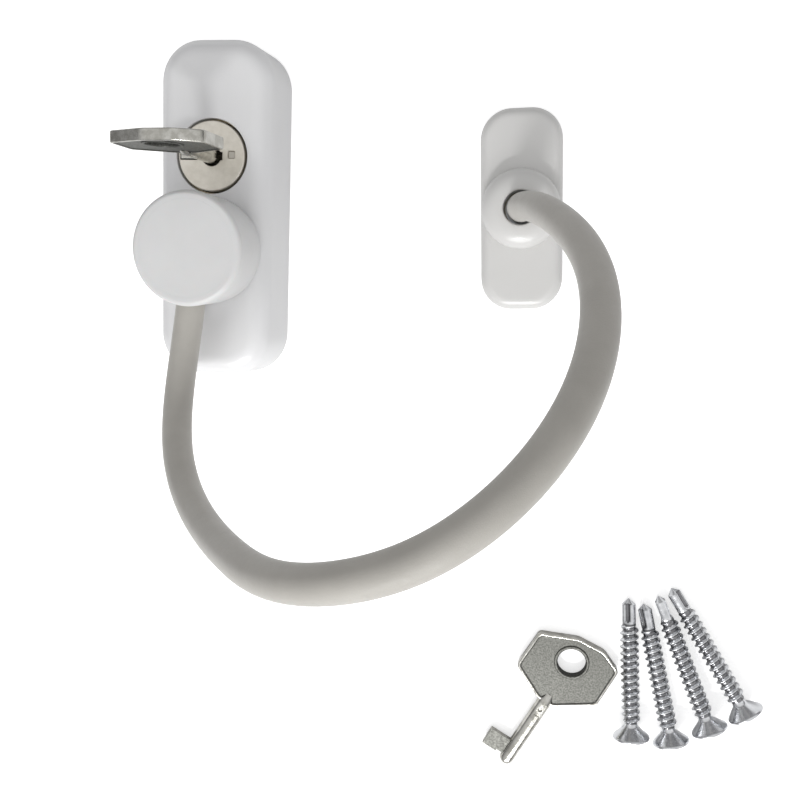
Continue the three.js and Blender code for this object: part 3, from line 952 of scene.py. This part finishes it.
def lay_screws():
    """The screws lie on their threads and head rims, so each one dips towards its point."""
    dip = math.asin((head_radius - crest_radius) / (screw_length - drill_length))
    point_height = head_radius + 0.1 - screw_length * math.sin(dip)
    for index, (x, y, heading) in enumerate(laying_screws):
        turn = Matrix.Rotation(math.radians(heading), 3, "Z") @ Matrix.Rotation(math.pi / 2 - dip, 3, "Y")
        turn = turn @ Matrix.Rotation(math.radians(15 + 37 * index), 3, "Z")
        mesh = placed(finish_screw(screw_shape()), x, y, point_height, turn=turn)
        node = f"screw_{index + 1}"
        piece(f"threaded_{node}", mesh, node, "bright_zinc", [screw_zinc, shaded_zinc], node, sharp=40)


lay_screws()


# ---------- pieces whose CAD shape stays ----------


def dress(finish, *nodes):
    for node in nodes:
        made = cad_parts[node]
        made.data.materials.clear()
        made.data.materials.append(finish)


dress(zinc, "lock_base_plate", "latch_plate", "pin_socket", "drive_cam", "cylinder_circlip")
dress(zinc, "knob_crimp", "anchor_ferrule", "anchor_base_plate")
dress(turned_brass, "cylinder_barrel", "swivel_washer")
dress(nickel("washer_nickel", plug_axis), "pin_washer")
dress(grey_plastic(), "latch_guide")


# ---------- floor and light ----------


floor_glow = (0.0, 0.55)  # as the object sees it, and as the camera sees it


def make_floor():
    """Plain white paper that looks fully lit, without throwing that much light up at the object."""
    half = 1.5
    corners = [(-half, -half, 0), (half, -half, 0), (half, half, 0), (-half, half, 0)]
    mesh = bpy.data.meshes.new("floor")
    mesh.from_pydata(corners, [], [(0, 1, 2, 3)])
    floor = bpy.data.objects.new("floor", mesh)
    floor.location.z = -0.0001
    bpy.context.scene.collection.objects.link(floor)
    paper = Finish("paper", (0.84, 0.84, 0.84), 0.9)
    paper.tint(paper.noise(60, 3), (0.83, 0.83, 0.83))
    paper.set("Emission Color", (1, 1, 1, 1))
    rays = paper.tree.nodes.new("ShaderNodeLightPath")
    glow = paper.spread(rays.outputs["Is Camera Ray"], floor_glow[0], floor_glow[1], 0, 1)
    paper.link(glow, paper.shader.inputs["Emission Strength"])
    mesh.materials.append(paper.material)


def soft_light(name, place, size, power, target=(40, -30, 10)):
    """A rectangular soft light at a place in millimetres, facing a target."""
    data = bpy.data.lights.new(name, "AREA")
    data.shape = "RECTANGLE"
    data.size, data.size_y = size[0] * MM, size[1] * MM
    data.energy = power
    light = bpy.data.objects.new(name, data)
    light.location = Vector(place) * MM
    light.rotation_euler = (Vector(target) - Vector(place)).to_track_quat("-Z", "Y").to_euler()
    bpy.context.scene.collection.objects.link(light)


def make_world():
    """Soft light from above, darker towards the horizon, with a plain pale backdrop where it shows."""
    world = bpy.data.worlds.new("studio")
    world.use_nodes = True
    tree = world.node_tree
    place = tree.nodes.new("ShaderNodeTexCoord")
    height = tree.nodes.new("ShaderNodeSeparateXYZ")
    tree.links.new(place.outputs["Generated"], height.inputs["Vector"])
    shade = tree.nodes.new("ShaderNodeValToRGB")
    shade.color_ramp.elements[0].position = 0.05
    shade.color_ramp.elements[0].color = (0.16, 0.16, 0.165, 1)
    shade.color_ramp.elements[1].position = 0.85
    shade.color_ramp.elements[1].color = (0.8, 0.8, 0.8, 1)
    tree.links.new(height.outputs["Z"], shade.inputs["Fac"])
    backdrop = tree.nodes.new("ShaderNodeMix")
    backdrop.data_type = "RGBA"
    backdrop.inputs["B"].default_value = (0.9, 0.9, 0.91, 1)
    rays = tree.nodes.new("ShaderNodeLightPath")
    tree.links.new(rays.outputs["Is Camera Ray"], backdrop.inputs["Factor"])
    tree.links.new(shade.outputs["Color"], backdrop.inputs["A"])
    tree.links.new(backdrop.outputs["Result"], tree.nodes["Background"].inputs["Color"])
    bpy.context.scene.world = world


make_floor()
make_world()
soft_light("front_light", (60, -480, 260), (420, 200), 1.25)
soft_light("strip_light", (50, -330, 300), (90, 16), 0.5)
soft_light("right_light", (480, -80, 200), (240, 300), 0.08)
bpy.context.scene.view_settings.view_transform = "Standard"
